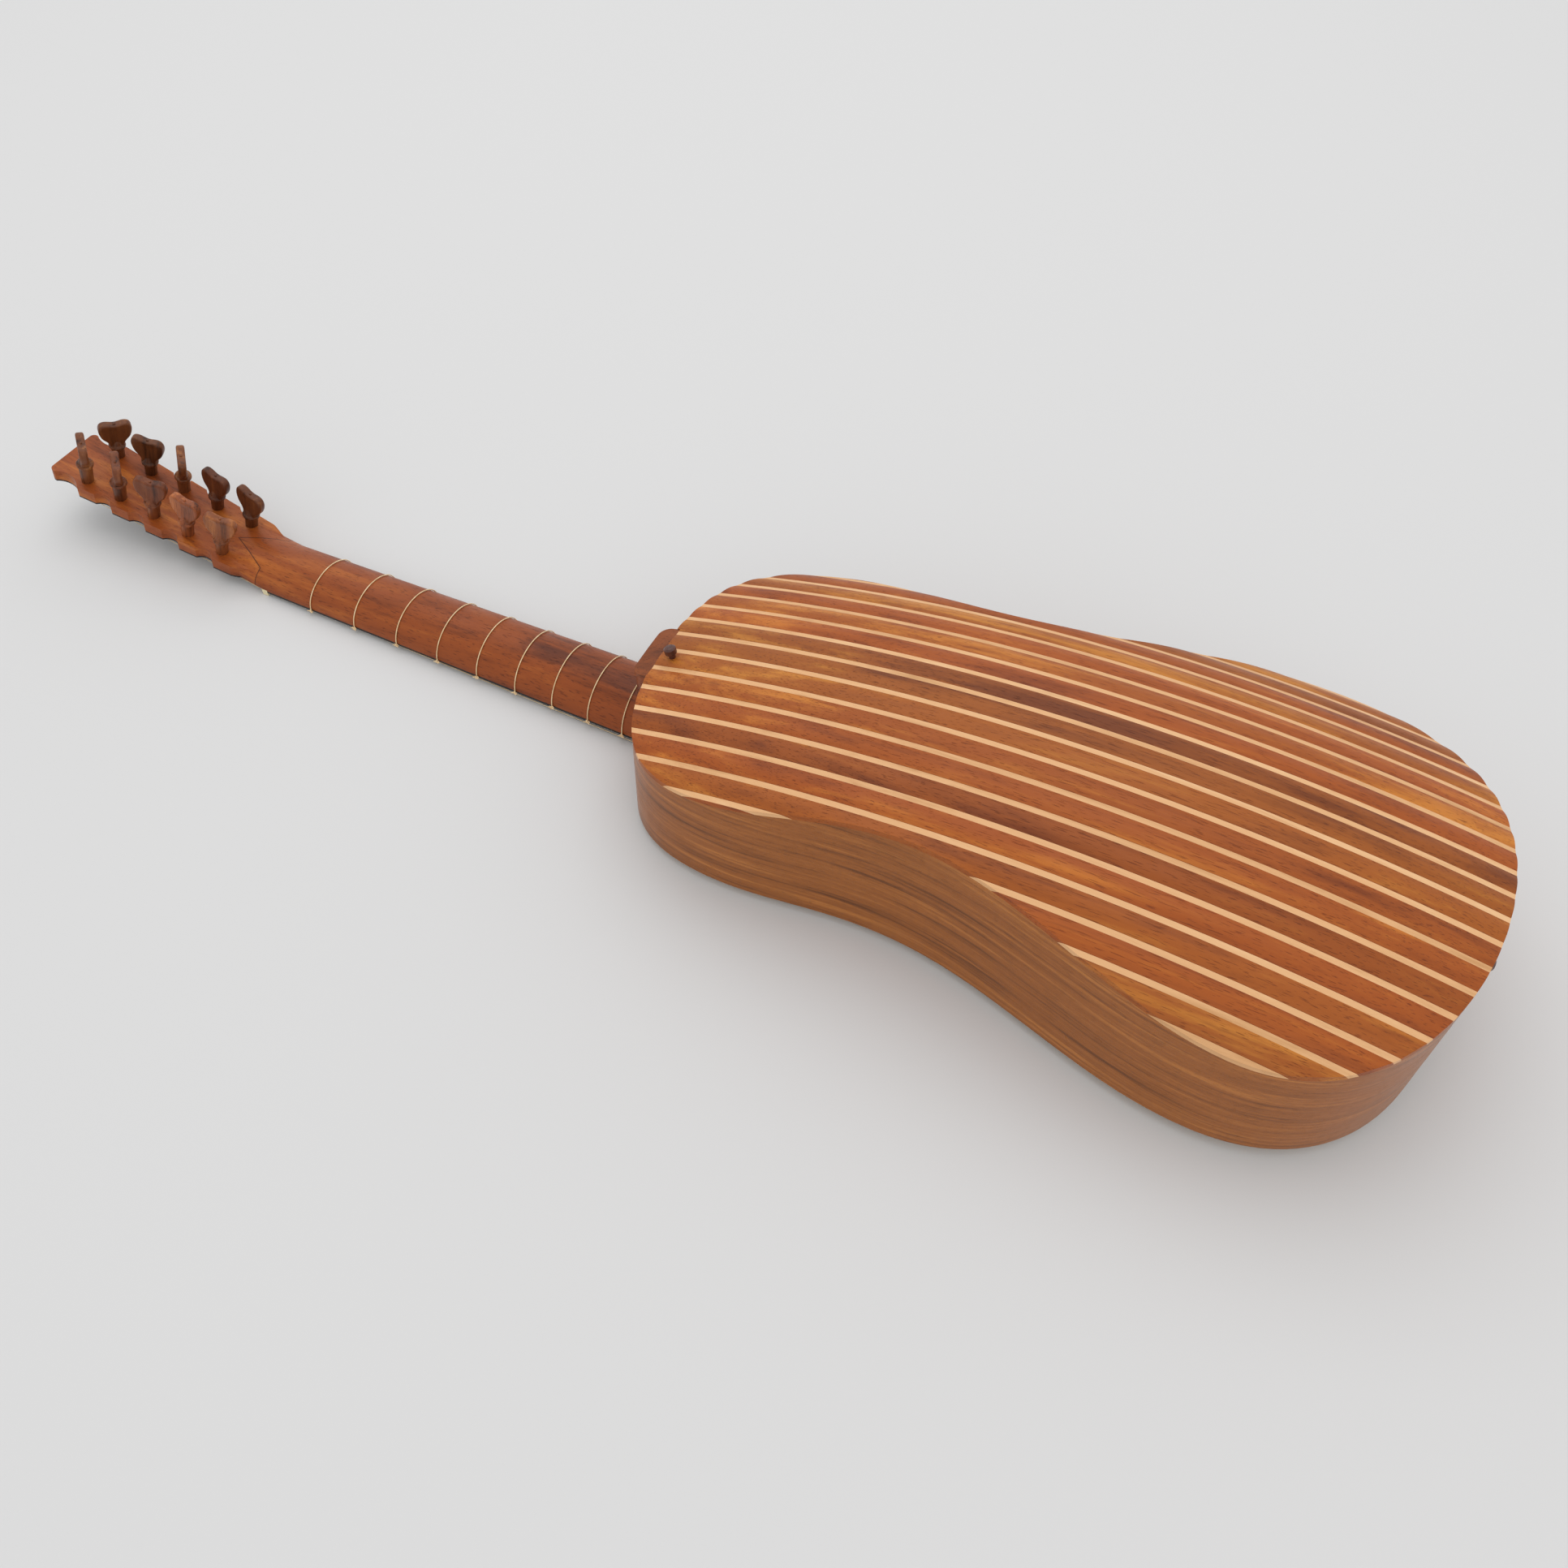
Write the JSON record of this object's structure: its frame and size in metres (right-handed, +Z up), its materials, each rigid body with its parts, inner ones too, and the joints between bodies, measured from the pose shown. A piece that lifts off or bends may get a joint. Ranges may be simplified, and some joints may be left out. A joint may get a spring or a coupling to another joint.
{
  "type": "baroque guitar",
  "caption": "Baroque guitar with a vaulted back of dark ribs and pale spacers, tied gut frets and turning wooden friction pegs.",
  "frame": {"origin": "centre of the footprint on the table, with the guitar lying face down on its bridge and nut", "axes": "+X from the head to the tail, +Y towards the bass side, +Z up through the vaulted back"},
  "size_m": [0.9168, 0.2384, 0.1104],
  "materials": {
    "rib_wood": "oiled and polished figured fruitwood",
    "spacer_wood": "polished pale maple",
    "side_wood": "polished plain walnut",
    "neck_wood": "polished reddish hardwood",
    "head_wood": "polished reddish hardwood",
    "cap_wood": "polished dark hardwood",
    "block_wood": "plain unfinished softwood",
    "soundboard_wood": "varnished spruce",
    "ebony": "polished ebony",
    "peg_wood": "polished dark rosewood",
    "button_wood": "polished dark hardwood",
    "parchment": "pierced parchment",
    "bone": "polished bone",
    "gut": "twisted gut, satin",
    "fret_gut": "twisted gut, satin"
  },
  "bodies": {
    "guitar": {"back_rib_01": "rib_wood", "back_rib_02": "rib_wood", "back_rib_03": "rib_wood", "back_rib_04": "rib_wood", "back_rib_05": "rib_wood", "back_rib_06": "rib_wood", "back_rib_07": "rib_wood", "back_rib_08": "rib_wood", "back_rib_09": "rib_wood", "back_rib_10": "rib_wood", "back_rib_11": "rib_wood", "back_rib_12": "rib_wood", "back_rib_13": "rib_wood", "back_rib_14": "rib_wood", "back_rib_15": "rib_wood", "back_rib_16": "rib_wood", "back_rib_17": "rib_wood", "back_spacers": "spacer_wood", "side_bass": "side_wood", "side_treble": "side_wood", "neck": "neck_wood", "head": "head_wood", "heel_cap": "cap_wood", "neck_block": "block_wood", "tail_block": "block_wood", "linings": "block_wood", "soundboard_bars": "block_wood", "soundboard": "soundboard_wood", "rose_border": "ebony", "soundhole_rose": "parchment", "body_frets": "ebony", "fingerboard": "ebony", "head_veneer": "ebony", "bridge": "ebony", "bridge_moustaches": "ebony", "nut": "bone", "strings": "gut", "strap_button_heel": "button_wood", "strap_button_tail": "button_wood"},
    "peg_01": {"peg_01": "peg_wood"},
    "peg_02": {"peg_02": "peg_wood"},
    "peg_03": {"peg_03": "peg_wood"},
    "peg_04": {"peg_04": "peg_wood"},
    "peg_05": {"peg_05": "peg_wood"},
    "peg_06": {"peg_06": "peg_wood"},
    "peg_07": {"peg_07": "peg_wood"},
    "peg_08": {"peg_08": "peg_wood"},
    "peg_09": {"peg_09": "peg_wood"},
    "peg_10": {"peg_10": "peg_wood"},
    "tied_fret_1": {"tied_fret_1": "fret_gut"},
    "tied_fret_2": {"tied_fret_2": "fret_gut"},
    "tied_fret_3": {"tied_fret_3": "fret_gut"},
    "tied_fret_4": {"tied_fret_4": "fret_gut"},
    "tied_fret_5": {"tied_fret_5": "fret_gut"},
    "tied_fret_6": {"tied_fret_6": "fret_gut"},
    "tied_fret_7": {"tied_fret_7": "fret_gut"},
    "tied_fret_8": {"tied_fret_8": "fret_gut"},
    "tied_fret_9": {"tied_fret_9": "fret_gut"}
  },
  "joints": [
    {"name": "peg_01_turn", "type": "hinge", "parent": "guitar", "child": "peg_01", "pos_m": [-0.31766, 0.0154, 0.01], "axis": [0.2754, 0, 0.9613], "continuous": true},
    {"name": "peg_02_turn", "type": "hinge", "parent": "guitar", "child": "peg_02", "pos_m": [-0.34608, 0.0154, 0.015], "axis": [0.2754, 0, 0.9613], "continuous": true},
    {"name": "peg_03_turn", "type": "hinge", "parent": "guitar", "child": "peg_03", "pos_m": [-0.37451, 0.0154, 0.02001], "axis": [0.2754, 0, 0.9613], "continuous": true},
    {"name": "peg_04_turn", "type": "hinge", "parent": "guitar", "child": "peg_04", "pos_m": [-0.40293, 0.0154, 0.02501], "axis": [0.2754, 0, 0.9613], "continuous": true},
    {"name": "peg_05_turn", "type": "hinge", "parent": "guitar", "child": "peg_05", "pos_m": [-0.43135, 0.0154, 0.03002], "axis": [0.2754, 0, 0.9613], "continuous": true},
    {"name": "peg_06_turn", "type": "hinge", "parent": "guitar", "child": "peg_06", "pos_m": [-0.31766, -0.0154, 0.01], "axis": [0.2754, 0, 0.9613], "continuous": true},
    {"name": "peg_07_turn", "type": "hinge", "parent": "guitar", "child": "peg_07", "pos_m": [-0.34608, -0.0154, 0.015], "axis": [0.2754, 0, 0.9613], "continuous": true},
    {"name": "peg_08_turn", "type": "hinge", "parent": "guitar", "child": "peg_08", "pos_m": [-0.37451, -0.0154, 0.02001], "axis": [0.2754, 0, 0.9613], "continuous": true},
    {"name": "peg_09_turn", "type": "hinge", "parent": "guitar", "child": "peg_09", "pos_m": [-0.40293, -0.0154, 0.02501], "axis": [0.2754, 0, 0.9613], "continuous": true},
    {"name": "peg_10_turn", "type": "hinge", "parent": "guitar", "child": "peg_10", "pos_m": [-0.43135, -0.0154, 0.03002], "axis": [0.2754, 0, 0.9613], "continuous": true},
    {"name": "tied_fret_1_shift", "type": "slide", "parent": "guitar", "child": "tied_fret_1", "axis": [1, 0, 0.0072], "range_m": [-0.002, 0.002]},
    {"name": "tied_fret_2_shift", "type": "slide", "parent": "guitar", "child": "tied_fret_2", "axis": [1, 0, 0.0072], "range_m": [-0.002, 0.002]},
    {"name": "tied_fret_3_shift", "type": "slide", "parent": "guitar", "child": "tied_fret_3", "axis": [1, 0, 0.0072], "range_m": [-0.002, 0.002]},
    {"name": "tied_fret_4_shift", "type": "slide", "parent": "guitar", "child": "tied_fret_4", "axis": [1, 0, 0.0072], "range_m": [-0.002, 0.002]},
    {"name": "tied_fret_5_shift", "type": "slide", "parent": "guitar", "child": "tied_fret_5", "axis": [1, 0, 0.0072], "range_m": [-0.002, 0.002]},
    {"name": "tied_fret_6_shift", "type": "slide", "parent": "guitar", "child": "tied_fret_6", "axis": [1, 0, 0.0072], "range_m": [-0.002, 0.002]},
    {"name": "tied_fret_7_shift", "type": "slide", "parent": "guitar", "child": "tied_fret_7", "axis": [1, 0, 0.0072], "range_m": [-0.002, 0.002]},
    {"name": "tied_fret_8_shift", "type": "slide", "parent": "guitar", "child": "tied_fret_8", "axis": [1, 0, 0.0072], "range_m": [-0.002, 0.002]},
    {"name": "tied_fret_9_shift", "type": "slide", "parent": "guitar", "child": "tied_fret_9", "axis": [1, 0, 0.0072], "range_m": [-0.002, 0.002]}
  ]
}
